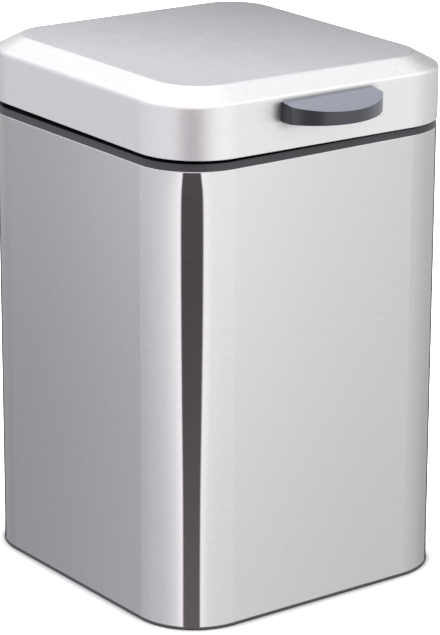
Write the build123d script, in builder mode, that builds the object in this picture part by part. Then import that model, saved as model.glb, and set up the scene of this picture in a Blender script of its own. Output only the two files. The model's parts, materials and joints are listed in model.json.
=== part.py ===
# Square hanging bathroom bin: brushed steel sleeve, plastic collar, hinged steel lid with a
# front pull tab, lift-out inner bucket and keyhole slots in the rear wall.
# Millimetres, +Z up, the front with the tab faces -Y, the origin is the middle of the base.
from build123d import *
from math import atan2, cos, degrees, radians, sin, tan
import os

# Sleeve
body_w = 200.0
body_d = 207.4
corner_r = 37.2
sheet = 0.8
sleeve_bottom = 1.4
sleeve_h = 267.0
fit = 0.1

# Base pan
lip_bottom = 0.5
lip_flare = 0.3
pan_wall = 2.0
pan_skirt_h = 18.6
pan_floor_bottom = 7.0
pan_floor = 2.4
pan_rib = 1.6
pan_rib_bottom = 1.6
pan_rib_share = 0.2
foot_inset = 32.0
foot_r = 9.0
foot_seat = 3.0
foot_edge = 0.6
foot_boss_wall = 2.2
foot_stem_r = 2.6
foot_barb_r = 3.4
foot_barb_h = 2.0
foot_barb_taper = 18.0

# Collar
collar_h = 4.4
collar_draft = 6.5
collar_edge = 0.6
collar_plate = 2.2
collar_wall = 2.0
collar_skirt = 22.0
ledge_margin = 12.0
ledge_rear_margin = 20.2
ledge_r = 28.0
ledge_width = 6.0
ledge_drop = 4.0
ledge_plate = 2.2
scoop_length = 30.0
scoop_depth = 7.0
ear_x = 44.0
ear_width = 8.0
ear_r = 4.2
ear_gusset = 12.0
gusset_toe = 1.0

# Inner bucket
rim_gap = 0.6
rim_plate = 1.8
rim_bead = 1.6
bead_width = 2.0
bead_edge = 0.5
bucket_gap = 0.8
bucket_wall = 1.8
bucket_floor = 2.2
bucket_bottom = 14.0
bucket_taper = 6.0
bucket_foot_r = 7.0

# Hinge
pin_inset = 5.1
pin_lift = 13.1
pin_r = 1.5
pin_play = 0.06
pin_edge = 0.3
knuckle_width = 6.0
knuckle_gap = 0.5
pin_overhang = 2.4
cap_r = 2.55
cap_h = 1.6
cap_edge = 0.5

# Lid
lid_over = 0.6
lid_front_gap = 0.8
lid_rear_gap = 2.4
lid_wall_h = 32.5
lid_rise = 7.8
lid_inset = 14.3
lid_top_r = 25.6
shoulder_r = 2.6
crown_r = 4.0
notch_side = 1.2
notch_over_pin = 5.1

# Lid liner
liner_gap = 0.15
liner_wall = 1.8
liner_lift = 4.1
liner_rib = 1.4
liner_rib_drop = 5.0
liner_rib_share = 0.23
bumper_offset = 31.0
bumper_boss_r = 4.5
bumper_r = 3.5
bumper_edge = 0.6
bumper_stem_r = 1.6
bumper_stem = 6.0

# Pull tab
tab_half = 31.7
tab_side = 9.3
tab_reach = 26.0
tab_drop = 3.8
tab_h = 11.3
tab_slope = 8.4
tab_edge_r = 0.7
tab_roof = 2.2
tab_front_wall = 2.6
tab_side_wall = 2.4
tab_back_wall = 3.0
spigot_x = 19.0
spigot_lift = 4.8
spigot_r = 3.2
tab_boss_r = 3.4
tab_boss_length = 13.0

# Screws, rivets and the hanging slots
tab_screw_r = 1.5
tab_screw_length = 13.0
screw_head_r = 3.0
screw_head_h = 2.0
screw_head_edge = 0.8
screw_pad_r = 5.0
screw_pad = 1.4
rear_screw_x = 22.0
rear_screw_lift = 7.5
rear_screw_r = 1.5
rear_screw_length = 8.0
rear_boss_r = 4.0
rear_boss = 9.0
recess_r = 1.0
recess_h = 1.0
keyhole_x = 35.0
keyhole_drop = 49.0
keyhole_r = 4.5
slot_w = 4.6
slot_rise = 12.0
hanger_side = 2.8
hanger_below = 17.0
hanger_above = 23.0
hanger_t = 1.2
hanger_r = 6.0
rivet_inset_x = 8.0
rivet_inset_z = 7.0
rivet_r = 1.6
rivet_head_r = 3.0
rivet_head_h = 0.9
rivet_head_taper = 35.0
rivet_tail_r = 2.6
rivet_tail_h = 2.2
rivet_tail_taper = 12.0

# Heights, half sizes and places that follow from the values above
sleeve_top = sleeve_bottom + sleeve_h
rear = body_d / 2
inner_w = body_w - 2 * sheet
inner_d = body_d - 2 * sheet
inner_r = corner_r - sheet
skirt_w = inner_w - 2 * fit
skirt_d = inner_d - 2 * fit
skirt_r = inner_r - fit
foot_x = body_w / 2 - foot_inset
foot_y = body_d / 2 - foot_inset
collar_top = sleeve_top + collar_h
ledge_top = collar_top - ledge_drop
ledge_w = body_w - 2 * ledge_margin
ledge_d = body_d - ledge_margin - ledge_rear_margin
ledge_y = (ledge_margin - ledge_rear_margin) / 2
opening_w = ledge_w - 2 * ledge_width
opening_d = ledge_d - 2 * ledge_width
opening_r = ledge_r - ledge_width
bucket_w = opening_w - 2 * bucket_gap
bucket_d = opening_d - 2 * bucket_gap
bucket_r = opening_r - bucket_gap
bucket_lean = degrees(atan2(bucket_taper, ledge_top - bucket_bottom))
rim_top = ledge_top + rim_plate
pin_y = rear - pin_inset
pin_z = collar_top + pin_lift
lid_front_z = collar_top + lid_front_gap
lid_rear_z = collar_top + lid_rear_gap
lid_shoulder_z = collar_top + lid_wall_h
lid_top_z = lid_shoulder_z + lid_rise
lid_w = body_w + 2 * lid_over
lid_d = body_d + 2 * lid_over
lid_r = corner_r + lid_over
lid_rear = lid_d / 2
slope = atan2(lid_rise, lid_inset)
skin_drop = sheet / cos(slope)
inner_shoulder = lid_shoulder_z + sheet * tan(slope) - skin_drop
inner_top = lid_top_z - sheet
inner_shift = (inner_top - inner_shoulder) / tan(slope)
notch_top = pin_z + notch_over_pin
notch_width = ear_width + 2 * notch_side
liner_w = lid_w - 2 * (sheet + liner_gap)
liner_d = lid_d - 2 * (sheet + liner_gap)
liner_r = lid_r - sheet - liner_gap
liner_rear = liner_d / 2
liner_bottom = collar_top + liner_lift
liner_knee = lid_shoulder_z - shoulder_r
liner_top = lid_top_z - sheet
liner_top_w = lid_w - 2 * lid_inset - 2 * shoulder_r
liner_top_d = lid_d - 2 * lid_inset - 2 * shoulder_r
liner_top_r = lid_top_r - shoulder_r
knuckle_near = ear_x - ear_width / 2 - knuckle_gap - knuckle_width / 2
knuckle_far = ear_x + ear_width / 2 + knuckle_gap + knuckle_width / 2
pin_half = knuckle_far + knuckle_width / 2 + pin_overhang
cap_x = knuckle_far + knuckle_width / 2 + knuckle_gap
bumper_x = lid_w / 2 - lid_r + bumper_offset * cos(radians(45))
bumper_y = lid_d / 2 - lid_r + bumper_offset * sin(radians(45))
tab_top = lid_shoulder_z - tab_drop
tab_bottom = tab_top - tab_h
spigot_z = tab_bottom + spigot_lift
rear_screw_z = pin_z + rear_screw_lift
keyhole_z = sleeve_top - keyhole_drop
hanger_w = body_w - 2 * corner_r - 2 * hanger_side
hanger_bottom = keyhole_z - hanger_below
hanger_top = keyhole_z + hanger_above
rivet_x = hanger_w / 2 - rivet_inset_x
rivet_low_z = hanger_bottom + rivet_inset_z
rivet_high_z = hanger_top - rivet_inset_z
bumper_spots = [(sx * bumper_x, sy * bumper_y) for sx in (-1, 1) for sy in (-1, 1)]
foot_spots = [(sx * foot_x, sy * foot_y) for sx in (-1, 1) for sy in (-1, 1)]
rivet_spots = [(sx * rivet_x, z) for sx in (-1, 1) for z in (rivet_low_z, rivet_high_z)]
front_face = Plane(origin=(0, -lid_rear, 0), x_dir=(1, 0, 0), z_dir=(0, -1, 0))
rear_face = Plane(origin=(0, rear, 0), x_dir=(-1, 0, 0), z_dir=(0, 1, 0))
lid_rear_face = Plane(origin=(0, lid_rear, 0), x_dir=(-1, 0, 0), z_dir=(0, 1, 0))
liner_front_face = Plane(origin=(0, -liner_rear, 0), x_dir=(1, 0, 0), z_dir=(0, -1, 0))
liner_rear_face = Plane(origin=(0, liner_rear, 0), x_dir=(-1, 0, 0), z_dir=(0, 1, 0))

os.makedirs("parts", exist_ok=True)

# Brushed steel sleeve, open at both ends
with BuildPart() as body_shell:
    with BuildSketch(Plane.XY.offset(sleeve_bottom)):
        RectangleRounded(body_w, body_d, corner_r)
        RectangleRounded(inner_w, inner_d, inner_r, mode=Mode.SUBTRACT)
    extrude(amount=sleeve_h)
    with BuildSketch(rear_face):
        with Locations((-keyhole_x, keyhole_z), (keyhole_x, keyhole_z)):
            Circle(keyhole_r)
        with Locations((-keyhole_x, keyhole_z + slot_rise / 2), (keyhole_x, keyhole_z + slot_rise / 2)):
            SlotCenterToCenter(slot_rise, slot_w, rotation=90)
        with Locations(*rivet_spots):
            Circle(rivet_r)
    extrude(amount=-2 * sheet, mode=Mode.SUBTRACT)
body_shell.part.label = "body_shell"
export_step(body_shell.part, "parts/body_shell.step")

# Base pan: thin lip under the sleeve, skirt pressed inside it, ribbed floor with four foot sockets
with BuildPart() as base_pan:
    with BuildSketch(Plane.XY.offset(lip_bottom)):
        RectangleRounded(body_w + 2 * lip_flare, body_d + 2 * lip_flare, corner_r + lip_flare)
        RectangleRounded(
            skirt_w - 2 * pan_wall, skirt_d - 2 * pan_wall, skirt_r - pan_wall, mode=Mode.SUBTRACT
        )
    extrude(amount=sleeve_bottom - lip_bottom)
    with BuildSketch(Plane.XY.offset(sleeve_bottom)):
        RectangleRounded(skirt_w, skirt_d, skirt_r)
        RectangleRounded(
            skirt_w - 2 * pan_wall, skirt_d - 2 * pan_wall, skirt_r - pan_wall, mode=Mode.SUBTRACT
        )
    extrude(amount=pan_skirt_h)
    with BuildSketch(Plane.XY.offset(pan_floor_bottom)):
        RectangleRounded(skirt_w - pan_wall, skirt_d - pan_wall, skirt_r - pan_wall / 2)
    extrude(amount=pan_floor)
    # ribs under the floor
    with BuildSketch(Plane.XY.offset(pan_rib_bottom)):
        for step in (-1, 0, 1):
            with Locations((step * pan_rib_share * body_w, 0)):
                Rectangle(pan_rib, skirt_d - pan_wall)
            with Locations((0, step * pan_rib_share * body_d)):
                Rectangle(skirt_w - pan_wall, pan_rib)
    extrude(amount=pan_floor_bottom - pan_rib_bottom)
    # foot sockets
    with BuildSketch(Plane.XY.offset(pan_rib_bottom)):
        with Locations(*foot_spots):
            Circle(foot_r + foot_boss_wall)
    extrude(amount=pan_floor_bottom - pan_rib_bottom)
    with BuildSketch(Plane.XY.offset(pan_rib_bottom)):
        with Locations(*foot_spots):
            Circle(foot_r + fit)
    extrude(amount=foot_seat - pan_rib_bottom, mode=Mode.SUBTRACT)
    with BuildSketch(Plane.XY.offset(foot_seat)):
        with Locations(*foot_spots):
            Circle(foot_stem_r + fit)
    extrude(amount=pan_floor_bottom + pan_floor - foot_seat, mode=Mode.SUBTRACT)
base_pan.part.label = "base_pan"
export_step(base_pan.part, "parts/base_pan.step")

# Rubber foot with a stem that pulls through the pan floor and a barb that holds it
with BuildPart() as foot_front_left:
    with BuildSketch():
        with Locations(foot_spots[0]):
            Circle(foot_r)
    extrude(amount=foot_seat)
    chamfer(foot_front_left.edges().group_by(Axis.Z)[0], foot_edge)
    with BuildSketch(Plane.XY.offset(foot_seat)):
        with Locations(foot_spots[0]):
            Circle(foot_stem_r)
    extrude(amount=pan_floor_bottom + pan_floor - foot_seat)
    with BuildSketch(Plane.XY.offset(pan_floor_bottom + pan_floor)):
        with Locations(foot_spots[0]):
            Circle(foot_barb_r)
    extrude(amount=foot_barb_h, taper=foot_barb_taper)
foot_front_left.part.label = "foot_front_left"
export_step(foot_front_left.part, "parts/foot_front_left.step")

with BuildPart() as foot_rear_left:
    add(foot_front_left.part.moved(Location((0, 2 * foot_y, 0))))
foot_rear_left.part.label = "foot_rear_left"
export_step(foot_rear_left.part, "parts/foot_rear_left.step")

with BuildPart() as foot_front_right:
    add(foot_front_left.part.moved(Location((2 * foot_x, 0, 0))))
foot_front_right.part.label = "foot_front_right"
export_step(foot_front_right.part, "parts/foot_front_right.step")

with BuildPart() as foot_rear_right:
    add(foot_front_left.part.moved(Location((2 * foot_x, 2 * foot_y, 0))))
foot_rear_right.part.label = "foot_rear_right"
export_step(foot_rear_right.part, "parts/foot_rear_right.step")

# Collar: drafted outer band on the sleeve's edge, skirt inside it, ledge for the bucket, hinge ears
with BuildPart() as collar:
    with BuildSketch(Plane.XY.offset(sleeve_top)):
        RectangleRounded(body_w, body_d, corner_r)
    extrude(amount=collar_h, taper=collar_draft)
    fillet(collar.edges().group_by(Axis.Z)[-1], collar_edge)
    with BuildSketch(Plane.XY.offset(sleeve_top)):
        RectangleRounded(skirt_w - 2 * collar_wall, skirt_d - 2 * collar_wall, skirt_r - collar_wall)
    extrude(amount=collar_h - collar_plate, mode=Mode.SUBTRACT)
    with BuildSketch(Plane.XY.offset(sleeve_top - collar_skirt)):
        RectangleRounded(skirt_w, skirt_d, skirt_r)
        RectangleRounded(
            skirt_w - 2 * collar_wall, skirt_d - 2 * collar_wall, skirt_r - collar_wall, mode=Mode.SUBTRACT
        )
    extrude(amount=collar_skirt)
    # ledge that carries the bucket
    with BuildSketch(Plane.XY.offset(ledge_top - ledge_plate)):
        with Locations((0, ledge_y)):
            RectangleRounded(ledge_w + 2 * collar_wall, ledge_d + 2 * collar_wall, ledge_r + collar_wall)
    extrude(amount=collar_top - collar_plate - ledge_top + ledge_plate)
    with BuildSketch(Plane.XY.offset(ledge_top)):
        with Locations((0, ledge_y)):
            RectangleRounded(ledge_w, ledge_d, ledge_r)
    extrude(amount=collar_top - ledge_top, mode=Mode.SUBTRACT)
    with BuildSketch(Plane.XY.offset(ledge_top - ledge_plate)):
        with Locations((0, ledge_y)):
            RectangleRounded(opening_w, opening_d, opening_r)
    extrude(amount=ledge_plate, mode=Mode.SUBTRACT)
    # finger scoops beside the bucket's rim
    with BuildSketch(Plane.XY.offset(ledge_top - ledge_plate)):
        with Locations((-ledge_w / 2, ledge_y), (ledge_w / 2, ledge_y)):
            SlotOverall(scoop_length, 2 * scoop_depth, rotation=90)
    extrude(amount=collar_top - ledge_top + ledge_plate, mode=Mode.SUBTRACT)
    # hinge ears with a gusset on their front
    for side in (-1, 1):
        with BuildSketch(Plane.YZ.offset(side * ear_x - ear_width / 2)):
            with Locations((pin_y, pin_z)):
                Circle(ear_r)
            with BuildLine():
                Polyline(
                    (pin_y + ear_r, pin_z),
                    (pin_y - ear_r, pin_z),
                    (pin_y - ear_gusset + gusset_toe, collar_top - collar_plate / 2),
                    (pin_y + ear_r, collar_top - collar_plate / 2),
                    close=True,
                )
            make_face()
            with Locations((pin_y, pin_z)):
                Circle(pin_r, mode=Mode.SUBTRACT)
        extrude(amount=ear_width)
collar.part.label = "collar"
export_step(collar.part, "parts/collar.step")

# Space inside the bucket
with BuildPart() as bucket_inside:
    with BuildSketch(Plane.XY.offset(ledge_top)):
        with Locations((0, ledge_y)):
            RectangleRounded(bucket_w - 2 * bucket_wall, bucket_d - 2 * bucket_wall, bucket_r - bucket_wall)
    extrude(amount=-(ledge_top - bucket_bottom - bucket_floor), taper=bucket_lean)
    fillet(bucket_inside.edges().group_by(Axis.Z)[0], bucket_foot_r - bucket_wall)
    with BuildSketch(Plane.XY.offset(ledge_top)):
        with Locations((0, ledge_y)):
            RectangleRounded(bucket_w - 2 * bucket_wall, bucket_d - 2 * bucket_wall, bucket_r - bucket_wall)
    extrude(amount=rim_plate)

# Inner bucket, hung by its rim on the collar's ledge
with BuildPart() as inner_bucket:
    with BuildSketch(Plane.XY.offset(ledge_top)):
        with Locations((0, ledge_y)):
            RectangleRounded(bucket_w, bucket_d, bucket_r)
    extrude(amount=-(ledge_top - bucket_bottom), taper=bucket_lean)
    fillet(inner_bucket.edges().group_by(Axis.Z)[0], bucket_foot_r)
    with BuildSketch(Plane.XY.offset(ledge_top)):
        with Locations((0, ledge_y)):
            RectangleRounded(ledge_w - 2 * rim_gap, ledge_d - 2 * rim_gap, ledge_r - rim_gap)
    extrude(amount=rim_plate)
    with BuildSketch(Plane.XY.offset(rim_top)):
        with Locations((0, ledge_y)):
            RectangleRounded(ledge_w - 2 * rim_gap, ledge_d - 2 * rim_gap, ledge_r - rim_gap)
            RectangleRounded(
                ledge_w - 2 * rim_gap - 2 * bead_width,
                ledge_d - 2 * rim_gap - 2 * bead_width,
                ledge_r - rim_gap - bead_width,
                mode=Mode.SUBTRACT,
            )
    extrude(amount=rim_bead)
    chamfer(inner_bucket.edges().group_by(Axis.Z)[-1], bead_edge)
    add(bucket_inside.part, mode=Mode.SUBTRACT)
inner_bucket.part.label = "inner_bucket"
export_step(inner_bucket.part, "parts/inner_bucket.step")

# Space inside the steel lid
with BuildPart() as lid_inside:
    with BuildSketch(Plane.XY.offset(collar_top)):
        RectangleRounded(lid_w - 2 * sheet, lid_d - 2 * sheet, lid_r - sheet)
    extrude(amount=inner_shoulder - collar_top)
    with BuildSketch(Plane.XY.offset(inner_shoulder)):
        RectangleRounded(lid_w - 2 * sheet, lid_d - 2 * sheet, lid_r - sheet)
    with BuildSketch(Plane.XY.offset(inner_top)):
        RectangleRounded(
            lid_w - 2 * sheet - 2 * inner_shift, lid_d - 2 * sheet - 2 * inner_shift, lid_top_r
        )
    loft()
    fillet(
        lid_inside.edges().filter_by_position(Axis.Z, inner_shoulder - 0.1, inner_shoulder + 0.1),
        shoulder_r - sheet,
    )
    fillet(lid_inside.edges().group_by(Axis.Z)[-1], crown_r)

# Steel lid: drawn cap with a flat top, sloping border and plain vertical skirt
with BuildPart() as lid_shell:
    with BuildSketch(Plane.XY.offset(collar_top)):
        RectangleRounded(lid_w, lid_d, lid_r)
    extrude(amount=lid_wall_h)
    with BuildSketch(Plane.XY.offset(lid_shoulder_z)):
        RectangleRounded(lid_w, lid_d, lid_r)
    with BuildSketch(Plane.XY.offset(lid_top_z)):
        RectangleRounded(lid_w - 2 * lid_inset, lid_d - 2 * lid_inset, lid_top_r)
    loft()
    fillet(lid_shell.edges().filter_by_position(Axis.Z, lid_shoulder_z - 0.1, lid_shoulder_z + 0.1), shoulder_r)
    fillet(lid_shell.edges().group_by(Axis.Z)[-1], crown_r)
    add(lid_inside.part, mode=Mode.SUBTRACT)
    # lower edge rises a little to the rear, so that it clears the collar when the lid swings
    with BuildSketch(Plane.YZ.offset(-lid_w)):
        with BuildLine():
            Polyline(
                (-lid_d, lid_front_z - (lid_rear_z - lid_front_z) / 2),
                (lid_d, lid_rear_z + (lid_rear_z - lid_front_z) / 2),
                (lid_d, collar_top - 5),
                (-lid_d, collar_top - 5),
                close=True,
            )
        make_face()
    extrude(amount=2 * lid_w, mode=Mode.SUBTRACT)
    # notches that the collar's ears stand in
    with BuildSketch(lid_rear_face):
        with Locations((-ear_x, notch_top), (ear_x, notch_top)):
            Rectangle(notch_width, 2 * (notch_top - collar_top), align=(Align.CENTER, Align.MAX))
        with Locations((-rear_screw_x, rear_screw_z), (rear_screw_x, rear_screw_z)):
            Circle(rear_screw_r + fit)
    extrude(amount=-2 * sheet, mode=Mode.SUBTRACT)
    with BuildSketch(front_face):
        with Locations((-spigot_x, spigot_z), (spigot_x, spigot_z)):
            Circle(spigot_r + fit)
    extrude(amount=-2 * sheet, mode=Mode.SUBTRACT)
lid_shell.part.label = "lid_shell"
export_step(lid_shell.part, "parts/lid_shell.step")

# Space inside the liner
with BuildPart() as liner_inside:
    with BuildSketch(Plane.XY.offset(liner_bottom)):
        RectangleRounded(liner_w - 2 * liner_wall, liner_d - 2 * liner_wall, liner_r - liner_wall)
    extrude(amount=liner_knee - liner_wall / 2 - liner_bottom)
    with BuildSketch(Plane.XY.offset(liner_knee - liner_wall / 2)):
        RectangleRounded(liner_w - 2 * liner_wall, liner_d - 2 * liner_wall, liner_r - liner_wall)
    with BuildSketch(Plane.XY.offset(liner_top - liner_wall)):
        RectangleRounded(liner_top_w - liner_wall, liner_top_d - liner_wall, liner_top_r - liner_wall / 2)
    loft()

# Plastic liner inside the lid: wall, roof, ribs, bumper bosses and hinge knuckles
with BuildPart() as lid_liner:
    with BuildSketch(Plane.XY.offset(liner_bottom)):
        RectangleRounded(liner_w, liner_d, liner_r)
    extrude(amount=liner_knee - liner_bottom)
    with BuildSketch(Plane.XY.offset(liner_knee)):
        RectangleRounded(liner_w, liner_d, liner_r)
    with BuildSketch(Plane.XY.offset(liner_top)):
        RectangleRounded(liner_top_w, liner_top_d, liner_top_r)
    loft()
    add(liner_inside.part, mode=Mode.SUBTRACT)
    # ribs under the roof
    with BuildSketch(Plane.XY.offset(liner_top - liner_wall - liner_rib_drop)):
        for step in (-1, 0, 1):
            with Locations((step * liner_rib_share * liner_top_w, 0)):
                Rectangle(liner_rib, liner_top_d)
            with Locations((0, step * liner_rib_share * liner_top_d)):
                Rectangle(liner_top_w, liner_rib)
    extrude(amount=liner_rib_drop + liner_wall / 2)
    # bumper bosses
    with BuildSketch(Plane.XY.offset(liner_bottom)):
        with Locations(*bumper_spots):
            Circle(bumper_boss_r)
    extrude(until=Until.NEXT)
    with BuildSketch(Plane.XY.offset(liner_bottom)):
        with Locations(*bumper_spots):
            Circle(bumper_stem_r + fit)
    extrude(amount=bumper_stem + 1, mode=Mode.SUBTRACT)
    # notches behind the collar's ears
    with BuildSketch(lid_rear_face):
        with Locations((-ear_x, notch_top), (ear_x, notch_top)):
            Rectangle(notch_width, 2 * (notch_top - collar_top), align=(Align.CENTER, Align.MAX))
    extrude(amount=-4 * liner_wall, mode=Mode.SUBTRACT)
    # knuckles on both sides of each ear
    for x in (-knuckle_far, -knuckle_near, knuckle_near, knuckle_far):
        with BuildSketch(Plane.YZ.offset(x - knuckle_width / 2)):
            with Locations((pin_y, pin_z)):
                Circle(ear_r)
            with BuildLine():
                Polyline(
                    (pin_y, pin_z - ear_r),
                    (liner_rear - liner_wall / 2, pin_z - ear_r),
                    (liner_rear - liner_wall / 2, pin_z + 2 * ear_r),
                    (pin_y - ear_r, pin_z),
                    (pin_y, pin_z),
                    close=True,
                )
            make_face()
        extrude(amount=knuckle_width)
    with BuildSketch(Plane.YZ.offset(-pin_half)):
        with Locations((pin_y, pin_z)):
            Circle(pin_r + pin_play)
    extrude(amount=2 * pin_half, mode=Mode.SUBTRACT)
    # pads and holes for the tab's screws, bosses for the rear screws
    with BuildSketch(liner_front_face):
        with Locations((-spigot_x, spigot_z), (spigot_x, spigot_z)):
            Circle(screw_pad_r)
    extrude(amount=-liner_wall - screw_pad)
    with BuildSketch(liner_front_face):
        with Locations((-spigot_x, spigot_z), (spigot_x, spigot_z)):
            Circle(tab_screw_r + fit)
    extrude(amount=-liner_wall - screw_pad, mode=Mode.SUBTRACT)
    with BuildSketch(liner_rear_face):
        with Locations((-rear_screw_x, rear_screw_z), (rear_screw_x, rear_screw_z)):
            Circle(rear_boss_r)
    extrude(amount=-rear_boss)
    with BuildSketch(liner_rear_face):
        with Locations((-rear_screw_x, rear_screw_z), (rear_screw_x, rear_screw_z)):
            Circle(rear_screw_r)
    extrude(amount=-rear_screw_length, mode=Mode.SUBTRACT)
lid_liner.part.label = "lid_liner"
export_step(lid_liner.part, "parts/lid_liner.step")

# Pull tab: D-shaped in plan, hollow underneath, with two spigots and screw bosses
with BuildPart() as pull_tab:
    with BuildSketch(Plane.XY.offset(tab_bottom)):
        with BuildLine():
            Line((-tab_half, -lid_rear), (-tab_half, -lid_rear - tab_side))
            ThreePointArc(
                (-tab_half, -lid_rear - tab_side), (0, -lid_rear - tab_reach), (tab_half, -lid_rear - tab_side)
            )
            Line((tab_half, -lid_rear - tab_side), (tab_half, -lid_rear))
            Line((tab_half, -lid_rear), (-tab_half, -lid_rear))
        make_face()
    extrude(amount=tab_h)
    # sloping roof
    with BuildSketch(Plane.YZ.offset(-tab_half)):
        with BuildLine():
            Polyline(
                (-lid_rear, tab_top),
                (-lid_rear - tab_reach, tab_top - tab_reach * tan(radians(tab_slope))),
                (-lid_rear - tab_reach, tab_top + 1),
                (-lid_rear, tab_top + 1),
                close=True,
            )
        make_face()
    extrude(amount=2 * tab_half, mode=Mode.SUBTRACT)
    fillet(pull_tab.edges().filter_by(GeomType.CIRCLE), tab_edge_r)
    # hollow below the roof
    with BuildSketch(Plane.XY.offset(tab_bottom)):
        with BuildLine():
            Line(
                (-tab_half + tab_side_wall, -lid_rear - tab_back_wall),
                (-tab_half + tab_side_wall, -lid_rear - tab_side),
            )
            ThreePointArc(
                (-tab_half + tab_side_wall, -lid_rear - tab_side),
                (0, -lid_rear - tab_reach + tab_front_wall),
                (tab_half - tab_side_wall, -lid_rear - tab_side),
            )
            Line(
                (tab_half - tab_side_wall, -lid_rear - tab_side),
                (tab_half - tab_side_wall, -lid_rear - tab_back_wall),
            )
            Line(
                (tab_half - tab_side_wall, -lid_rear - tab_back_wall),
                (-tab_half + tab_side_wall, -lid_rear - tab_back_wall),
            )
        make_face()
    extrude(amount=tab_h - tab_roof - tab_reach * tan(radians(tab_slope)), mode=Mode.SUBTRACT)
    # screw bosses inside the hollow and spigots through the steel
    with BuildSketch(front_face):
        with Locations((-spigot_x, spigot_z), (spigot_x, spigot_z)):
            Circle(tab_boss_r)
    extrude(amount=tab_boss_length)
    with BuildSketch(front_face):
        with Locations((-spigot_x, spigot_z), (spigot_x, spigot_z)):
            Circle(spigot_r)
    extrude(amount=-sheet - liner_gap)
    with BuildSketch(liner_front_face):
        with Locations((-spigot_x, spigot_z), (spigot_x, spigot_z)):
            Circle(tab_screw_r)
    extrude(amount=tab_screw_length - liner_wall - screw_pad, mode=Mode.SUBTRACT)
pull_tab.part.label = "pull_tab"
export_step(pull_tab.part, "parts/pull_tab.step")

# Two pan-head screws that clamp liner, steel and tab together from inside the lid
with BuildPart() as tab_screws:
    with BuildSketch(liner_front_face.offset(-liner_wall - screw_pad)):
        with Locations((-spigot_x, spigot_z), (spigot_x, spigot_z)):
            Circle(tab_screw_r)
    extrude(amount=tab_screw_length)
    with BuildSketch(liner_front_face.offset(-liner_wall - screw_pad)):
        with Locations((-spigot_x, spigot_z), (spigot_x, spigot_z)):
            Circle(screw_head_r)
    extrude(amount=-screw_head_h)
    chamfer(tab_screws.edges().group_by(Axis.Y)[-1], screw_head_edge)
    with BuildSketch(liner_front_face.offset(-liner_wall - screw_pad - screw_head_h)):
        with Locations((-spigot_x, spigot_z), (spigot_x, spigot_z)):
            Rectangle(2 * recess_r, recess_r / 2)
            Rectangle(recess_r / 2, 2 * recess_r)
    extrude(amount=recess_h, mode=Mode.SUBTRACT)
tab_screws.part.label = "tab_screws"
export_step(tab_screws.part, "parts/tab_screws.step")

# Two pan-head screws through the steel lid's rear wall into the liner
with BuildPart() as rear_screws:
    with BuildSketch(lid_rear_face):
        with Locations((-rear_screw_x, rear_screw_z), (rear_screw_x, rear_screw_z)):
            Circle(rear_screw_r)
    extrude(amount=-rear_screw_length)
    with BuildSketch(lid_rear_face):
        with Locations((-rear_screw_x, rear_screw_z), (rear_screw_x, rear_screw_z)):
            Circle(screw_head_r)
    extrude(amount=screw_head_h)
    chamfer(rear_screws.edges().group_by(Axis.Y)[-1], screw_head_edge)
    with BuildSketch(lid_rear_face.offset(screw_head_h)):
        with Locations((-rear_screw_x, rear_screw_z), (rear_screw_x, rear_screw_z)):
            Rectangle(2 * recess_r, recess_r / 2)
            Rectangle(recess_r / 2, 2 * recess_r)
    extrude(amount=-recess_h, mode=Mode.SUBTRACT)
rear_screws.part.label = "rear_screws"
export_step(rear_screws.part, "parts/rear_screws.step")

# Hinge pin, tight in the collar's ears and free in the liner's knuckles
with BuildPart() as hinge_pin:
    with BuildSketch(Plane.YZ.offset(-pin_half)):
        with Locations((pin_y, pin_z)):
            Circle(pin_r)
    extrude(amount=2 * pin_half)
    chamfer(hinge_pin.edges().filter_by(GeomType.CIRCLE), pin_edge)
hinge_pin.part.label = "hinge_pin"
export_step(hinge_pin.part, "parts/hinge_pin.step")

# Push-on caps that keep the pin in place
with BuildPart() as pin_cap_right:
    with BuildSketch(Plane.YZ.offset(cap_x)):
        with Locations((pin_y, pin_z)):
            Circle(cap_r)
            Circle(pin_r, mode=Mode.SUBTRACT)
    extrude(amount=cap_h)
    chamfer(pin_cap_right.edges().group_by(Axis.X)[-1].sort_by(SortBy.RADIUS)[-1], cap_edge)
pin_cap_right.part.label = "pin_cap_right"
export_step(pin_cap_right.part, "parts/pin_cap_right.step")

with BuildPart() as pin_cap_left:
    add(mirror(pin_cap_right.part, about=Plane.YZ, mode=Mode.PRIVATE))
pin_cap_left.part.label = "pin_cap_left"
export_step(pin_cap_left.part, "parts/pin_cap_left.step")

# Rubber bumper: head on the collar, stem pressed into the liner's boss
with BuildPart() as bumper_front_left:
    with BuildSketch(Plane.XY.offset(collar_top)):
        with Locations(bumper_spots[0]):
            Circle(bumper_r)
    extrude(amount=liner_lift)
    chamfer(bumper_front_left.edges().group_by(Axis.Z)[0], bumper_edge)
    with BuildSketch(Plane.XY.offset(liner_bottom)):
        with Locations(bumper_spots[0]):
            Circle(bumper_stem_r)
    extrude(amount=bumper_stem)
bumper_front_left.part.label = "bumper_front_left"
export_step(bumper_front_left.part, "parts/bumper_front_left.step")

with BuildPart() as bumper_rear_left:
    add(bumper_front_left.part.moved(Location((0, 2 * bumper_y, 0))))
bumper_rear_left.part.label = "bumper_rear_left"
export_step(bumper_rear_left.part, "parts/bumper_rear_left.step")

with BuildPart() as bumper_front_right:
    add(bumper_front_left.part.moved(Location((2 * bumper_x, 0, 0))))
bumper_front_right.part.label = "bumper_front_right"
export_step(bumper_front_right.part, "parts/bumper_front_right.step")

with BuildPart() as bumper_rear_right:
    add(bumper_front_left.part.moved(Location((2 * bumper_x, 2 * bumper_y, 0))))
bumper_rear_right.part.label = "bumper_rear_right"
export_step(bumper_rear_right.part, "parts/bumper_rear_right.step")

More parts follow.
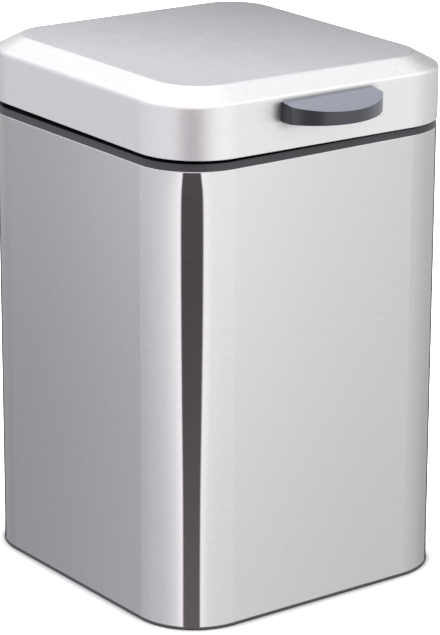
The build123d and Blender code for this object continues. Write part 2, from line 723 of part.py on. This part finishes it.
# Hanger plate that doubles the rear wall around the keyholes
with BuildPart() as hanger_plate:
    with BuildSketch(rear_face.offset(-sheet)):
        with Locations((0, (hanger_bottom + hanger_top) / 2)):
            RectangleRounded(hanger_w, hanger_below + hanger_above, hanger_r)
        with Locations((-keyhole_x, keyhole_z), (keyhole_x, keyhole_z)):
            Circle(keyhole_r, mode=Mode.SUBTRACT)
        with Locations((-keyhole_x, keyhole_z + slot_rise / 2), (keyhole_x, keyhole_z + slot_rise / 2)):
            SlotCenterToCenter(slot_rise, slot_w, rotation=90, mode=Mode.SUBTRACT)
        with Locations(*rivet_spots):
            Circle(rivet_r, mode=Mode.SUBTRACT)
    extrude(amount=-hanger_t)
hanger_plate.part.label = "hanger_plate"
export_step(hanger_plate.part, "parts/hanger_plate.step")

# Four blind rivets that fasten the hanger plate to the sleeve
with BuildPart() as hanger_rivets:
    with BuildSketch(rear_face.offset(-sheet - hanger_t)):
        with Locations(*rivet_spots):
            Circle(rivet_r)
    extrude(amount=sheet + hanger_t)
    with BuildSketch(rear_face):
        with Locations(*rivet_spots):
            Circle(rivet_head_r)
    extrude(amount=rivet_head_h, taper=rivet_head_taper)
    with BuildSketch(rear_face.offset(-sheet - hanger_t)):
        with Locations(*rivet_spots):
            Circle(rivet_tail_r)
    extrude(amount=-rivet_tail_h, taper=rivet_tail_taper)
hanger_rivets.part.label = "hanger_rivets"
export_step(hanger_rivets.part, "parts/hanger_rivets.step")
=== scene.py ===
"""Looks for the square bathroom bin: brushed steel, dark plastics, studio light and camera."""

import json
import math

import bpy
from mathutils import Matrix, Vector


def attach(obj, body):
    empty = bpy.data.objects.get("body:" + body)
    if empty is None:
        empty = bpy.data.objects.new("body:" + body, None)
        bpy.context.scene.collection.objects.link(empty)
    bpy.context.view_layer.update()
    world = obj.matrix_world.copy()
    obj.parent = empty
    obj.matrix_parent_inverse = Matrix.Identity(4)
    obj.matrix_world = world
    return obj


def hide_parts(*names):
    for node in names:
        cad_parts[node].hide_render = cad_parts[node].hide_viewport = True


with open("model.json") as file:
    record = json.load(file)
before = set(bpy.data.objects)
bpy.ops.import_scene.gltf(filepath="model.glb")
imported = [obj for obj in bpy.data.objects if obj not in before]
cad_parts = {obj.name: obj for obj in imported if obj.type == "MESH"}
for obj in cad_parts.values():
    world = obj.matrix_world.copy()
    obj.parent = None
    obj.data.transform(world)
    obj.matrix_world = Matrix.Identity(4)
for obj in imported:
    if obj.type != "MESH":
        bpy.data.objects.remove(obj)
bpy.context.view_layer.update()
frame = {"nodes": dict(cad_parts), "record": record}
NODES = frame["nodes"]

# camera: angles in degrees, places in metres, lens and sensor in millimetres
CAMERA_SIDE = 36.528      # from the front towards the left side
CAMERA_UP = 17.780
CAMERA_ROLL = 0.217
CAMERA_FAR = 1.8277
CAMERA_LENS = 174.870
CAMERA_SENSOR = 36
CAMERA_CLIP = 0.05
AIM = Vector((0.00408, -0.00008, 0.14432))


# node helpers
MIX_SOCKETS = {"FLOAT": (2, 3, 0), "VECTOR": (4, 5, 1), "RGBA": (6, 7, 2)}      # two inputs and the output
RAY_SAMPLES = 8


class Nodes:
    """Short ways to add nodes to one tree, fed with numbers, tuples or the outputs of other nodes."""

    def __init__(self, tree):
        self.tree = tree

    def add(self, kind, **settings):
        made = self.tree.nodes.new(kind)
        for key, value in settings.items():
            setattr(made, key, value)
        return made

    def feed(self, item, socket):
        if isinstance(item, bpy.types.NodeSocket):
            self.tree.links.new(item, socket)
        else:
            socket.default_value = item

    def maths(self, operation, a, b):
        made = self.add("ShaderNodeMath", operation=operation)
        self.feed(a, made.inputs[0])
        self.feed(b, made.inputs[1])
        return made.outputs[0]

    def times(self, a, b):
        return self.maths("MULTIPLY", a, b)

    def vector(self, operation, *vectors):
        made = self.add("ShaderNodeVectorMath", operation=operation)
        for item, socket in zip(vectors, made.inputs):
            self.feed(item, socket)
        return made.outputs

    def scaled(self, vector, amount):
        made = self.add("ShaderNodeVectorMath", operation="SCALE")
        self.feed(vector, made.inputs[0])
        self.feed(amount, made.inputs["Scale"])
        return made.outputs["Vector"]

    def split(self, vector):
        made = self.add("ShaderNodeSeparateXYZ")
        self.feed(vector, made.inputs[0])
        return made.outputs

    def mix(self, kind, share, low, high, **settings):
        made = self.add("ShaderNodeMix", data_type=kind, **settings)
        first, second, result = MIX_SOCKETS[kind]
        self.feed(share, made.inputs["Factor"])
        self.feed(low, made.inputs[first])
        self.feed(high, made.inputs[second])
        return made.outputs[result]

    def smooth_step(self, value, start, end):
        made = self.add("ShaderNodeMapRange", interpolation_type="SMOOTHSTEP")
        made.inputs["From Min"].default_value = start
        made.inputs["From Max"].default_value = end
        self.feed(value, made.inputs[0])
        return made.outputs[0]

    def spread(self, share, middle, reach):
        """From reach below the middle to reach above it, as the share goes from 0 to 1."""
        made = self.add("ShaderNodeMapRange")
        made.inputs["To Min"].default_value = middle - reach
        made.inputs["To Max"].default_value = middle + reach
        self.feed(share, made.inputs[0])
        return made.outputs[0]

    def ramp(self, value, stops):
        """Each stop is a value and the level or the colour at it."""
        made = self.add("ShaderNodeValToRGB")
        elements = made.color_ramp.elements
        elements.remove(elements[1])
        for index, (place, level) in enumerate(stops):
            element = elements.new(place) if index else elements[0]
            element.position = place
            colour = level if isinstance(level, tuple) else (level, level, level)
            element.color = (*colour, 1)
        self.feed(value, made.inputs[0])
        return made.outputs[0]

    def noise(self, scale, detail, roughness):
        coords = self.add("ShaderNodeTexCoord")
        mapping = self.add("ShaderNodeMapping")
        mapping.inputs["Scale"].default_value = scale
        self.feed(coords.outputs["Object"], mapping.inputs["Vector"])
        made = self.add("ShaderNodeTexNoise")
        made.inputs["Scale"].default_value = 1.0
        made.inputs["Detail"].default_value = detail
        made.inputs["Roughness"].default_value = roughness
        self.feed(mapping.outputs[0], made.inputs["Vector"])
        return made.outputs["Fac"]

    def openness(self, distance, samples=RAY_SAMPLES):
        """1 in the open, and less with other surfaces within the distance."""
        made = self.add("ShaderNodeAmbientOcclusion", samples=samples)
        made.inputs["Distance"].default_value = distance
        return made.outputs["AO"]


class Surface(Nodes):
    """A new material, whose shade, roughness and normal are built up before finish puts them in."""

    def __init__(self, name):
        self.material = bpy.data.materials.new(name)
        self.material.use_nodes = True
        super().__init__(self.material.node_tree)
        self.inputs = self.tree.nodes["Principled BSDF"].inputs

    def finish(self):
        self.feed(self.shade, self.inputs["Base Color"])
        self.feed(self.roughness, self.inputs["Roughness"])
        self.feed(self.normal, self.inputs["Normal"])
        return self.material


def dark_and_pale(colour, depth):
    """The colour taken down and up by this share of itself."""
    return [tuple(min(1, channel * level) for channel in colour) for level in (1 - depth, 1 + depth)]


# steels
FLAT_TOP = (0.92, 0.98)                # upward part of the normal, from a wall to a flat top
FINE_BRUSHING = (60, 60, 3600)         # scale of the noise along X, Y and Z
BROAD_BRUSHING = (260, 260, 700)
BRUSHING_ENDS = (0.3, 0.7)             # noise where the grain is darkest and palest
BRUSHED_ROUGHNESS = 0.03               # how far the brushing moves the roughness
# how sharply the painted shade beside raised parts falls off
PAINTED_SHELTER_POWER = 1.3
EDGE_ON = (0.78, 0.87)                 # Layer Weight's facing, from no painted dark outline to the darkest
# how far the painted dark outline takes the colour down
PAINTED_OUTLINE_DARKNESS = 0.75
SPRING_MIDDLE = -39.5                  # degrees from the front, towards the left side
SPRING_REACH = 38                      # degrees to each side of the middle
SPRING_TOP = 0.27                      # metres above the floor, where the curve below ends
SPRING_CURVE = ((0.0, 0.3), (0.25, 0.28), (0.53, 0.1), (0.8, 0.0), (0.93, 0.02), (0.97, 0.14), (1.0, 0.5))


class BrushedSteel(Surface):
    """Sheet that is brushed level round the walls and along X on flat tops."""

    def __init__(self, name, colour, roughness, anisotropy, grain):
        super().__init__(name)
        self.inputs["Metallic"].default_value = 1.0
        self.inputs["Anisotropic"].default_value = anisotropy
        geometry = self.add("ShaderNodeNewGeometry")
        self.normal = geometry.outputs["Normal"]
        self.position = geometry.outputs["Position"]
        self.flat = self.smooth_step(self.split(self.normal)["Z"], *FLAT_TOP)
        # the tangent stands across the brushing, so highlights spread that way
        self.feed(self.mix("VECTOR", self.flat, (0, 0, 1), (0, 1, 0)), self.inputs["Tangent"])
        fine = self.noise(FINE_BRUSHING, detail=3.0, roughness=0.7)
        broad = self.noise(BROAD_BRUSHING, detail=2.0, roughness=0.6)
        brushing = self.maths("ADD", self.times(fine, 0.5), self.times(broad, 0.5))
        self.shade = self.ramp(brushing, zip(BRUSHING_ENDS, dark_and_pale(colour, grain)))
        self.wall_roughness = roughness
        self.roughness = self.spread(brushing, roughness, BRUSHED_ROUGHNESS)

    def round_edges(self, radius):
        rounded = self.add("ShaderNodeBevel", samples=RAY_SAMPLES)
        rounded.inputs["Radius"].default_value = radius
        self.normal = rounded.outputs[0]

    def lean_walls(self, amount):
        """The walls draw in a little towards the top."""
        upright = self.maths("SUBTRACT", 1.0, self.flat)
        upward = self.add("ShaderNodeCombineXYZ")
        self.feed(self.times(upright, amount), upward.inputs["Z"])
        leant = self.vector("ADD", self.normal, upward.outputs[0])["Vector"]
        self.normal = self.vector("NORMALIZE", leant)["Vector"]

    def spring_corner(self):
        """The sheet's bend at the front left corner is tighter towards the foot and at the top edge than a
        true arc, so the shading normal turns away from the bend's middle there."""
        facing = self.split(self.normal)
        angle = self.maths("ARCTAN2", facing["X"], self.times(facing["Y"], -1.0))
        offset = self.maths("SUBTRACT", angle, math.radians(SPRING_MIDDLE))
        share = self.maths("DIVIDE", offset, math.radians(SPRING_REACH))
        left_over = self.maths("SUBTRACT", 1.0, self.times(share, share))
        weight = self.maths("MAXIMUM", left_over, 0.0)
        turn = self.times(self.times(offset, weight), self.spring_by_height())
        rotate = self.add("ShaderNodeVectorRotate", rotation_type="Z_AXIS")
        self.feed(self.normal, rotate.inputs["Vector"])
        self.feed(turn, rotate.inputs["Angle"])
        self.normal = rotate.outputs[0]

    def spring_by_height(self):
        made = self.add("ShaderNodeFloatCurve")
        curve = made.mapping.curves[0]
        foot, *between, top = SPRING_CURVE
        curve.points[0].location = foot
        curve.points[1].location = top
        for place in between:
            curve.points.new(*place)
        made.mapping.update()
        self.feed(self.maths("DIVIDE", self.split(self.position)["Z"], SPRING_TOP), made.inputs["Value"])
        return made.outputs[0]

    def paint_shade_over_top(self, middle, slope_x, slope_y):
        """Painted shade: the flat top's colour falls off evenly from one side to the other, standing in for
        the uneven light on it; middle is its level over the origin, and the slopes are what it gains in
        each metre."""
        slope = self.vector("DOT_PRODUCT", self.position, (slope_x, slope_y, 0))["Value"]
        change = self.maths("ADD", slope, middle - 1.0)
        level = self.maths("ADD", 1.0, self.times(change, self.flat))
        self.shade = self.scaled(self.shade, level)

    def paint_shelter_shade(self, distance):
        """Painted shade: places beside what stands out of the sheet are darkened in the colour by ambient
        occlusion.
        """
        self.shade = self.scaled(self.shade, self.maths("POWER", self.openness(distance), PAINTED_SHELTER_POWER))

    def paint_dark_outline_edge_on(self):
        """Painted shade: where the sheet is seen nearly edge-on its colour and gloss are taken down, which
        paints a thin dark outline in place of a dark reflection.
        """
        layer = self.add("ShaderNodeLayerWeight")
        layer.inputs["Blend"].default_value = 0.5
        edge_on = self.smooth_step(layer.outputs["Facing"], *EDGE_ON)
        gloss = self.maths("SUBTRACT", 1.0, self.times(edge_on, PAINTED_OUTLINE_DARKNESS))
        self.shade = self.scaled(self.shade, gloss)
        self.feed(gloss, self.inputs["Specular Tint"])

    def set_top_roughness(self, roughness):
        change = self.times(self.flat, roughness - self.wall_roughness)
        self.roughness = self.maths("ADD", self.roughness, change)


def sleeve_steel():
    steel = BrushedSteel("sleeve steel", (0.735, 0.73, 0.735), roughness=0.12, anisotropy=1.0, grain=0.035)
    steel.round_edges(radius=0.0009)
    steel.spring_corner()
    # painted shade: a thin dark outline where the sheet is seen nearly edge-on
    steel.paint_dark_outline_edge_on()
    return steel.finish()


def lid_steel():
    # the lid is the same steel as the sleeve; its paler colour is painted light, standing in for the
    # brighter light on its walls
    steel = BrushedSteel("lid steel", (0.89, 0.89, 0.895), roughness=0.44, anisotropy=0.0, grain=0.05)
    steel.round_edges(radius=0.0006)
    steel.lean_walls(amount=0.05)
    # painted shade: the flat top's colour falls off from one side to the other
    steel.paint_shade_over_top(middle=0.95, slope_x=-2.5, slope_y=-1.5)
    # painted shade: darker beside what stands out of the sheet
    steel.paint_shelter_shade(distance=0.006)
    steel.set_top_roughness(0.34)
    return steel.finish()


def plate_steel():
    steel = BrushedSteel("plate steel", (0.55, 0.56, 0.57), roughness=0.35, anisotropy=0.2, grain=0.05)
    return steel.finish()


def bright_steel():
    steel = BrushedSteel("bright steel", (0.62, 0.62, 0.64), roughness=0.25, anisotropy=0.0, grain=0.03)
    return steel.finish()


# plastics and rubber
MOULDED_GRAIN = (900, 900, 900)        # scale of the noise along X, Y and Z
MOULDED_ENDS = (0.35, 0.65)            # noise where the grain is darkest and palest
MOULDED_SPECKLE = 0.05
MOULDED_ROUGHNESS = 0.05               # how far the grain moves the roughness
BUMP_STRENGTH = 0.08
BUMP_DEPTH = 0.0001
USUAL_GLOSS = 0.5
# how sharply the painted shade in crevices falls off
PAINTED_CREVICE_POWER = 2.0
TOP_STREAKS = (700, 1500, 700)
TOP_STREAK_ENDS = (0.3, 0.7)
TOP_STREAK_DEPTH = 0.2
PAINTED_LIGHT_TOP_FACE = (0.8, 0.97)                 # upward part of the normal, from the sides to the top, which is painted paler for the light from above
PAINTED_LIGHT_RIGHT_END = (-0.1, 0.75)               # rightward part of the normal, from the rest to the end, which is painted paler for the light from the right


class Plastic(Surface):
    """A moulding with a fine grain."""

    def __init__(self, name, colour, roughness, gloss=USUAL_GLOSS):
        super().__init__(name)
        self.gloss = gloss
        self.inputs["Specular IOR Level"].default_value = gloss
        grain = self.noise(MOULDED_GRAIN, detail=2.0, roughness=0.5)
        self.shade = self.ramp(grain, zip(MOULDED_ENDS, dark_and_pale(colour, MOULDED_SPECKLE)))
        self.roughness = self.spread(grain, roughness, MOULDED_ROUGHNESS)
        bump = self.add("ShaderNodeBump")
        bump.inputs["Strength"].default_value = BUMP_STRENGTH
        bump.inputs["Distance"].default_value = BUMP_DEPTH
        self.feed(grain, bump.inputs["Height"])
        self.normal = bump.outputs[0]

    def paint_crevice_shade(self, distance):
        """Painted shade: narrow gaps are darkened in the colour by ambient occlusion, and lose their gloss.
        """
        depth = self.maths("POWER", self.openness(distance), PAINTED_CREVICE_POWER)
        self.shade = self.mix("RGBA", 1.0, self.shade, depth, blend_type="MULTIPLY")
        self.feed(self.times(depth, self.gloss), self.inputs["Specular IOR Level"])

    def paint_light_on_end_and_top(self, lit_end_colour, lit_top_colour):
        """Painted light: the rim's right end is painted paler as if lit from the right, and the streaked
        top face is painted paler than the moulded sides, standing in for the light it catches from above.
        """
        geometry = self.add("ShaderNodeNewGeometry")
        facing = self.split(geometry.outputs["Normal"])
        side = self.mix("RGBA", self.smooth_step(facing["X"], *PAINTED_LIGHT_RIGHT_END), self.shade, (*lit_end_colour, 1))
        streaks = self.noise(TOP_STREAKS, detail=2.0, roughness=0.6)
        top = self.ramp(streaks, zip(TOP_STREAK_ENDS, dark_and_pale(lit_top_colour, TOP_STREAK_DEPTH)))
        self.shade = self.mix("RGBA", self.smooth_step(facing["Z"], *PAINTED_LIGHT_TOP_FACE), side, top)


def collar_plastic():
    plastic = Plastic("collar plastic", (0.045, 0.044, 0.052), roughness=0.3)
    # painted shade: darker in narrow gaps
    plastic.paint_crevice_shade(distance=0.008)
    return plastic.finish()


def base_plastic():
    return Plastic("base plastic", (0.085, 0.085, 0.09), roughness=0.5).finish()


def liner_plastic():
    plastic = Plastic("liner plastic", (0.045, 0.045, 0.05), roughness=0.5)
    # painted shade: darker in narrow gaps
    plastic.paint_crevice_shade(distance=0.008)
    return plastic.finish()


def tab_plastic():
    plastic = Plastic("tab plastic", (0.022, 0.023, 0.03), roughness=0.32, gloss=1.0)
    plastic.inputs["Specular Tint"].default_value = (0.9, 0.93, 1.0, 1)
    # painted light: the right end and the top face are painted paler where light falls on them
    plastic.paint_light_on_end_and_top(lit_end_colour=(0.15, 0.15, 0.185), lit_top_colour=(0.235, 0.253, 0.30))
    return plastic.finish()


def bucket_plastic():
    return Plastic("bucket plastic", (0.10, 0.10, 0.11), roughness=0.5).finish()


def rubber():
    plastic = Plastic("rubber", (0.02, 0.02, 0.02), roughness=0.75)
    # painted shade: darker in narrow gaps
    plastic.paint_crevice_shade(distance=0.006)
    return plastic.finish()


def dress_nodes():
    bright = bright_steel()
    materials = {
        "steel": sleeve_steel(),
        "plate_steel": plate_steel(),
        "bright_steel": bright,
        "rivet_alloy": bright,
        "collar_plastic": collar_plastic(),
        "base_plastic": base_plastic(),
        "liner_plastic": liner_plastic(),
        "tab_plastic": tab_plastic(),
        "bucket_plastic": bucket_plastic(),
        "rubber": rubber(),
    }
    for entry in frame["record"]["subparts"]:
        mesh = NODES[entry["node"]].data
        mesh.materials.clear()
        mesh.materials.append(materials[entry["material_slot"]])
    NODES["lid_shell"].data.materials[0] = lid_steel()


# lid resting askew: heights and places in metres, tilts in metres for each metre
LID_EDGE_BELOW = 0.2762
LID_EDGE_LIFT = 0.00025
LID_EDGE_TILT = 0.0100
LID_CROWN_ABOVE = 0.3016
LID_CROWN_TILT = 0.0095
LID_CROWN_PITCH = 0.003
LID_CROWN_CORNER = (-0.0863, 0.0900)


def askew(name, edge):
    """The photographed lid leaves a wider gap on the left and its top falls to the right, so the lower
    edge and the crown of the steel lid, and the roof of the liner in it, are drawn on the slant."""
    source = NODES[name]
    made = bpy.data.objects.new(name + "_askew", source.data.copy())
    bpy.context.scene.collection.objects.link(made)
    made.matrix_world = source.matrix_world
    back = made.matrix_world.inverted()
    for vertex in made.data.vertices:
        place = made.matrix_world @ vertex.co
        if edge and place.z < LID_EDGE_BELOW:
            place.z += LID_EDGE_LIFT - LID_EDGE_TILT * place.x
        elif place.z > LID_CROWN_ABOVE:
            place.z -= LID_CROWN_TILT * (place.x - LID_CROWN_CORNER[0])
            place.z += LID_CROWN_PITCH * (place.y - LID_CROWN_CORNER[1])
        vertex.co = back @ place
    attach(made, "lid")
    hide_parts(name)


# floor
FLOOR_HALF = 6.0
FLOOR_CORNERS = [(-1, -1), (1, -1), (1, 1), (-1, 1)]
FLOOR_PALENESS = 0.8                   # for the light that it throws back
FLOOR_PALENESS_SEEN = 3.0              # for the camera, so that it renders white outside the painted contact shadow
# painted contact shadow in the floor's colour: its reach, how sharply it falls off, and its rays
PAINTED_SHADOW_REACH = 0.016
PAINTED_SHADOW_POWER = 2.2
PAINTED_SHADOW_SAMPLES = 16


def make_floor():
    mesh = bpy.data.meshes.new("floor")
    corners = [(x * FLOOR_HALF, y * FLOOR_HALF, 0) for x, y in FLOOR_CORNERS]
    mesh.from_pydata(corners, [], [(0, 1, 2, 3)])
    floor = bpy.data.objects.new("floor", mesh)
    bpy.context.scene.collection.objects.link(floor)
    material = bpy.data.materials.new("floor")
    material.use_nodes = True
    material.node_tree.nodes.clear()
    nodes = Nodes(material.node_tree)
    # painted shadow: the floor's colour darkens by ambient occlusion next to the bin
    painted_contact_shadow = nodes.maths("POWER", nodes.openness(PAINTED_SHADOW_REACH, PAINTED_SHADOW_SAMPLES), PAINTED_SHADOW_POWER)
    seen = nodes.times(painted_contact_shadow, FLOOR_PALENESS_SEEN)
    path = nodes.add("ShaderNodeLightPath")
    paleness = nodes.mix("FLOAT", path.outputs["Is Camera Ray"], FLOOR_PALENESS, seen)
    diffuse = nodes.add("ShaderNodeBsdfDiffuse")
    nodes.feed(paleness, diffuse.inputs["Color"])
    out = nodes.add("ShaderNodeOutputMaterial")
    nodes.feed(diffuse.outputs[0], out.inputs[0])
    mesh.materials.append(material)
    floor.visible_glossy = False


# studio: angles round the bin in degrees, 0 towards the camera and 90 to its right, and heights from
# -1, straight down, to 1, straight up
STEEL_GIVES_BACK = 0.74                # share of the light that the sleeve mirrors
OVERHEAD = (0.0, 0.3)                  # heights, from the walls to the sky
DIMMER_ABOVE = 0.25                    # loss above the reflectors, as a share of their glow
WHITE = (1, 1, 1, 1)


def linear(tone):
    """Light level of an sRGB tone from 0 to 255."""
    tone /= 255
    return tone / 12.92 if tone <= 0.04045 else ((tone + 0.055) / 1.055) ** 2.4


def mirrored(tone):
    """Light level that the sleeve shows as this tone from 0 to 255."""
    return linear(tone) / STEEL_GIVES_BACK


class Studio(Nodes):
    """The world's tree, with light by the direction that it comes from."""

    def __init__(self, tree):
        super().__init__(tree)
        tree.nodes.clear()
        coords = self.add("ShaderNodeTexCoord")
        turn = self.add("ShaderNodeVectorRotate", rotation_type="Z_AXIS")
        turn.inputs["Angle"].default_value = math.radians(CAMERA_SIDE)
        self.feed(coords.outputs["Generated"], turn.inputs["Vector"])
        direction = self.split(turn.outputs[0])
        angle = self.maths("ARCTAN2", direction["X"], self.times(direction["Y"], -1.0))
        self.angle_share = self.maths("ADD", self.maths("DIVIDE", angle, 2 * math.pi), 0.5)
        self.height = direction["Z"]
        self.height_share = self.maths("ADD", self.times(self.height, 0.5), 0.5)

    def by_angle(self, stops):
        return self.ramp(self.angle_share, [(0.5 + angle / 360, level) for angle, level in stops])

    def by_height(self, stops):
        return self.ramp(self.height_share, [(0.5 + 0.5 * height, level) for height, level in stops])

    def blend(self, share, low, high):
        return self.mix("FLOAT", share, low, high)

    def raised(self, light, share):
        return self.times(light, self.maths("ADD", share, 1.0))

    def lowered(self, light, share):
        return self.times(light, self.maths("SUBTRACT", 1.0, share))


def wall_light(studio):
    """The walls round the bin, which its upright faces mirror."""
    tones = [(-180, 120), (-165, 142), (-150, 158), (-130, 157), (-113, 154), (-110.8, 152), (-109.9, 156),
             (-109.2, 171), (-108.97, 177), (-108.85, 184), (-108.75, 187), (-103, 190), (-92, 193),
             (-60, 201), (-27, 214), (16, 218), (32, 228), (55, 232), (73, 234), (73.8, 229), (74.5, 221),
             (75.4, 217), (75.9, 214), (76.2, 209), (76.45, 204), (77, 203), (80, 201), (95, 193),
             (110, 185), (145, 176), (165, 150), (180, 120)]
    light = studio.by_angle([(angle, mirrored(tone)) for angle, tone in tones])
    # pale reflectors on both sides of the panel stand lower than the rest
    glow = studio.by_angle([(-92, 0), (-60, 0.12), (-40, 0.25), (-31, 0.38), (-27, 0.45), (16, 0.38),
                            (22, 0.31), (32, 0.1), (55, 0.02), (73, 0)])
    standing = studio.by_height([(-0.378, 1.75), (-0.3, 1.35), (-0.26, 1.25), (-0.17, 0)])
    light = studio.raised(light, studio.times(glow, studio.maths("SUBTRACT", standing, DIMMER_ABOVE)))
    # the light falls off downwards, at the left more than at the front
    left_fade = studio.by_height([(-0.5, 0.79), (-0.31, 0.81), (-0.296, 0.85), (-0.27, 1.04), (-0.2, 1.17),
                                  (-0.1, 1.32), (0, 1.5)])
    front_fade = studio.by_height([(-0.5, 0.7), (-0.378, 0.745), (-0.327, 0.85), (-0.296, 0.915),
                                   (-0.269, 0.985), (-0.2, 1.08), (-0.1, 1.16), (0, 1.2)])
    to_left = studio.by_angle([(-180, 1), (-85, 1), (-45, 0), (150, 0), (180, 1)])
    light = studio.times(light, studio.blend(to_left, front_fade, left_fade))
    # the right end keeps its light lower down
    right_end = studio.by_angle([(75.5, 0), (79, 1), (110, 1), (130, 0)])
    lower_down = studio.by_height([(-0.378, 0.18), (-0.33, 0.1), (-0.296, 0.035), (-0.27, 0)])
    light = studio.raised(light, studio.times(right_end, lower_down))
    # higher up, the light left of the panel is weaker
    left_end = studio.by_angle([(-105, 0), (-85, 1), (-50, 1), (-35, 0)])
    higher_up = studio.by_height([(-0.26, 0), (-0.15, 0.15)])
    return studio.lowered(light, studio.times(left_end, higher_up))


def with_panel(studio, light):
    """A tall dark panel on the camera's side, which the front left corner mirrors as a dark strip."""
    across = studio.by_angle([(-24.0, 0), (-23.0, 1), (14.8, 1), (16.0, 0)])
    upward = studio.by_height([(-0.17, 1), (-0.08, 0.5), (0.05, 0.2), (0.3, 0)])
    tones = [(-0.45, 102), (-0.378, 90), (-0.33, 44), (-0.28, 20), (-0.2, 20), (-0.12, 50), (0, 85)]
    dark = studio.by_height([(height, mirrored(tone)) for height, tone in tones])
    return studio.blend(studio.times(across, upward), light, dark)


def sky_light(studio):
    """The sky over the walls, which the lid's top and shoulders mirror."""
    low = studio.by_angle([(-180, 0.465), (-150, 0.52), (-110, 0.8), (110, 0.8), (140, 0.4), (155, 0.2),
                           (165, 0.22), (174, 0.42), (180, 0.465)])
    high = studio.by_height([(0.4, 0.75), (0.5, 0.95), (0.58, 1.3), (0.66, 1.37), (0.8, 1.29), (1.0, 1.1)])
    # behind the bin on the right, the dark low sky reaches higher
    reach = studio.by_angle([(135, 0), (145, 1), (166, 1), (172, 0)])
    usual_rise = studio.by_height([(0.3, 0), (0.5, 1)])
    later_rise = studio.by_height([(0.62, 0), (0.76, 1)])
    return studio.blend(studio.blend(reach, usual_rise, later_rise), low, high)


def tint_by_direction(studio):
    """Slight tints of the light: violet in the panel, bluish behind the bin."""
    low = studio.by_angle([
        (-180, (0.98, 0.98, 1.04)), (-120, (1.0, 0.96, 1.045)), (-70, (1.0, 0.975, 1.035)),
        (-32, (1.0, 0.99, 1.015)), (-22, (1.05, 0.94, 1.01)), (10, (1.05, 0.94, 1.01)),
        (20, (1.0, 0.995, 1.005)), (80, (1.0, 0.995, 1.01)), (150, (0.995, 0.995, 1.02)),
        (180, (0.98, 0.98, 1.04))])
    high = studio.by_angle([
        (-180, (0.985, 1.0, 1.04)), (-153, (1.0, 1.0, 1.005)), (-130, (1.0, 1.0, 1.01)),
        (-112, (0.985, 1.0, 1.035)), (-70, (0.99, 1.0, 1.03)), (-32, (1.0, 1.0, 1.01)),
        (-22, (1.05, 0.94, 1.01)), (10, (1.05, 0.94, 1.01)), (20, (1.0, 0.995, 1.005)),
        (150, (1.0, 1.0, 1.0)), (165, (0.99, 1.0, 1.03)), (180, (0.985, 1.0, 1.04))])
    return studio.mix("RGBA", studio.by_height([(-0.36, 0), (-0.2, 1)]), low, high)


def make_world():
    """The studio lights and is mirrored; the camera itself sees white behind the bin."""
    world = bpy.data.worlds.new("studio")
    bpy.context.scene.world = world
    world.use_nodes = True
    studio = Studio(world.node_tree)
    overhead = studio.smooth_step(studio.height, *OVERHEAD)
    light = studio.blend(overhead, with_panel(studio, wall_light(studio)), sky_light(studio))
    lit = studio.add("ShaderNodeBackground")
    studio.feed(studio.scaled(tint_by_direction(studio), light), lit.inputs["Color"])
    white = studio.add("ShaderNodeBackground")
    white.inputs["Color"].default_value = WHITE
    path = studio.add("ShaderNodeLightPath")
    choose = studio.add("ShaderNodeMixShader")
    studio.feed(path.outputs["Is Camera Ray"], choose.inputs[0])
    studio.feed(lit.outputs[0], choose.inputs[1])
    studio.feed(white.outputs[0], choose.inputs[2])
    out = studio.add("ShaderNodeOutputWorld")
    studio.feed(choose.outputs[0], out.inputs[0])


# camera
def make_camera():
    side, up, roll = (math.radians(angle) for angle in (-CAMERA_SIDE, CAMERA_UP, CAMERA_ROLL))
    away = Vector((math.sin(side) * math.cos(up), -math.cos(side) * math.cos(up), math.sin(up)))
    data = bpy.data.cameras.new("camera")
    data.sensor_width = CAMERA_SENSOR
    data.lens = CAMERA_LENS
    data.clip_start = CAMERA_CLIP
    camera = bpy.data.objects.new("camera", data)
    bpy.context.scene.collection.objects.link(camera)
    camera.location = AIM + CAMERA_FAR * away
    camera.rotation_euler = (-away).to_track_quat("-Z", "Y").to_euler()
    camera.rotation_euler.rotate_axis("Z", roll)
    bpy.context.scene.camera = camera


dress_nodes()
askew("lid_shell", True)
askew("lid_liner", False)
make_floor()
make_world()
make_camera()
bpy.context.scene.view_settings.view_transform = "Standard"
